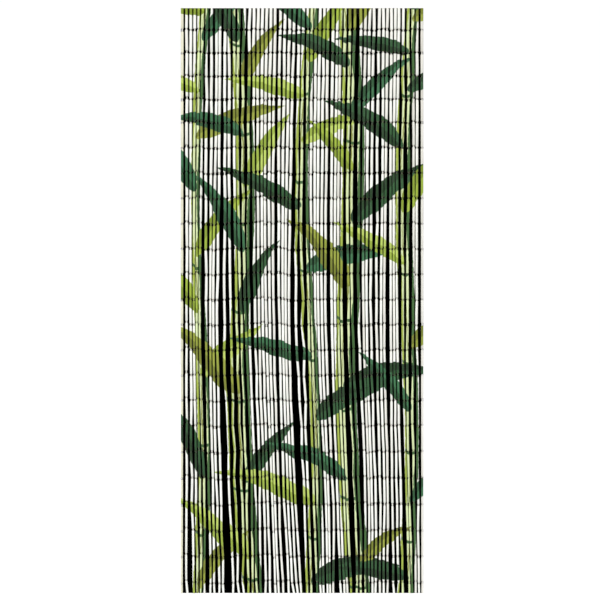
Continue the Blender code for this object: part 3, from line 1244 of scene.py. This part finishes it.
def dark_lath(grain):
    """Dark-stained lath with its grain along it."""
    material, sheet, shader = new_material("dark_stained_lath")
    where = sheet.add("ShaderNodeTexCoord").outputs["Object"]
    along = sheet.mapping(where, Rotation=(0, math.pi / 2, 0))
    fibre = sheet.group(grain, {"Place": along, "Fineness": LATH_GRAIN})
    colour = sheet.mix(fibre["Streak"], LATH_STAIN, LATH_STREAK)
    pitted = sheet.math("MULTIPLY", fibre["Speck"], PIT_STRENGTH)
    sheet.fill(shader.inputs, {
        "Base Color": sheet.mix(pitted, colour, LATH_PITS),
        "Roughness": sheet.spread(fibre["Streak"], LATH_ROUGHNESS),
        "Specular IOR Level": LATH_SHINE,
        "Normal": sheet.bump(WOOD_BUMP, fibre["Height"]),
    })
    return material


def add_plane(name, size, centre, turn, material):
    mesh = bmesh.new()
    bmesh.ops.create_grid(mesh, x_segments=1, y_segments=1, size=0.5)
    bmesh.ops.scale(mesh, vec=(*size, 1), verts=mesh.verts[:])
    bmesh.ops.rotate(mesh, cent=(0, 0, 0), matrix=turn, verts=mesh.verts[:])
    bmesh.ops.translate(mesh, vec=centre, verts=mesh.verts[:])
    data = bpy.data.meshes.new(name)
    mesh.to_mesh(data)
    mesh.free()
    data.materials.append(material)
    plane = add_object(name, data)
    plane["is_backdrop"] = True
    return plane


def build_stage():
    """Pale floor, and the black ground right behind the curtain that the photo shows."""
    floor_finish, sheet, shader = new_material("pale_floor")
    sheet.fill(shader.inputs, {
        "Base Color": (FLOOR_GREY, FLOOR_GREY, FLOOR_GREY, 1), "Roughness": 0.9,
        "Emission Color": (1, 1, 1, 1), "Emission Strength": FLOOR_GLOW,
    })
    floor_centre = (0, 0, -CURTAIN_DROP - FLOOR_DEPTH)
    floor_size = (FLOOR_SIZE, FLOOR_SIZE)
    floor = add_plane("floor", floor_size, floor_centre, Matrix.Identity(3), floor_finish)
    floor.visible_diffuse = False

    card_finish, sheet, shader = new_material("black_ground")
    sheet.fill(shader.inputs, {
        "Base Color": (0, 0, 0, 1), "Roughness": 1.0, "Specular IOR Level": 0.0,
    })
    behind = sheet.add("ShaderNodeNewGeometry").outputs["Backfacing"]
    slant = sheet.add("ShaderNodeLayerWeight").outputs["Facing"]
    unseen = sheet.math("MAXIMUM", behind, sheet.math("GREATER_THAN", slant, CARD_LEAST_SLANT))
    clear = sheet.add("ShaderNodeBsdfTransparent").outputs[0]
    mixed = sheet.add("ShaderNodeMixShader", {0: unseen, 1: shader.outputs[0], 2: clear})
    end = sheet.tree.nodes["Material Output"]
    sheet.fill(end.inputs, {"Surface": mixed.outputs[0]})
    spread = (CAMERA_DISTANCE + CARD_DEPTH) / CAMERA_DISTANCE
    card_size = (CURTAIN_WIDTH * spread - CARD_MARGIN, CURTAIN_DROP * spread - CARD_MARGIN)
    card_centre = (0, CARD_DEPTH, -CURTAIN_DROP / 2)
    upright = Matrix.Rotation(math.pi / 2, 3, "X")
    card = add_plane("black_ground", card_size, card_centre, upright, card_finish)
    card.visible_shadow = False
    card.visible_diffuse = False
    card.visible_glossy = False
    card.visible_transmission = False


def build_lights():
    """Soft suns, and white all round."""
    for sun in SUNS:
        lamp = bpy.data.lights.new(sun.name, "SUN")
        lamp.energy = sun.strength
        lamp.angle = math.radians(sun.softness)
        turn = Vector(sun.towards).to_track_quat("-Z", "Y")
        add_object(sun.name, lamp).rotation_euler = turn.to_euler()
    world = bpy.data.worlds.new("white_studio")
    world.use_nodes = True
    bpy.context.scene.world = world
    sheet = NodeSheet(world.node_tree)
    seen = sheet.add("ShaderNodeLightPath").outputs["Is Camera Ray"]
    strength = sheet.math("MULTIPLY_ADD", seen, BACKDROP - AMBIENT, AMBIENT)
    sky = world.node_tree.nodes["Background"]
    sheet.fill(sky.inputs, {"Color": (1, 1, 1, 1), "Strength": strength})


def build_camera():
    """A camera straight in front, framed as the photo is."""
    camera_data = bpy.data.cameras.new("camera")
    camera_data.sensor_width = SENSOR
    camera_data.lens = SENSOR * CAMERA_DISTANCE / (PIXEL * FRAME_PIXELS)
    camera_data.clip_end = CAMERA_REACH
    camera = add_object("camera", camera_data)
    middle = FRAME_PIXELS / 2
    off_x = (middle - CURTAIN_CENTRE_PIXEL[0]) * PIXEL
    off_z = (CURTAIN_CENTRE_PIXEL[1] - middle) * PIXEL
    camera.location = (off_x, -CAMERA_DISTANCE, off_z - CURTAIN_DROP / 2)
    camera.rotation_euler = (math.pi / 2, 0, 0)
    bpy.context.scene.camera = camera
    bpy.context.scene.view_settings.view_transform = "Standard"


def write_sizes(cad_box):
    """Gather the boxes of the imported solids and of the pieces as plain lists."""
    boxes = {"cad": cad_box, "visual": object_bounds()}
    plain = {name: [list(map(float, corner)) for corner in box] for name, box in boxes.items()}


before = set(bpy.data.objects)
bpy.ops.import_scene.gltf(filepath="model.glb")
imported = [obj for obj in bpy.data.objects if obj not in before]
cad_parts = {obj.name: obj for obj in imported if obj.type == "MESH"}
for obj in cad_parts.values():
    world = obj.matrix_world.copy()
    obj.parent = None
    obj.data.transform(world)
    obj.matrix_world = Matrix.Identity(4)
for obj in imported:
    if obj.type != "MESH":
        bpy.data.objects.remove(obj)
cad_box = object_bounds()
build_lights()
build_camera()
build_stage()
grain = grain_group()
wire_lacquer = wire_lacquer_group(grain)
build_strings(tube_lacquer_group(grain), wire_lacquer)
build_hooks(wire("hook_wire", wire_lacquer))
build_lath(dark_lath(grain))
write_sizes(cad_box)
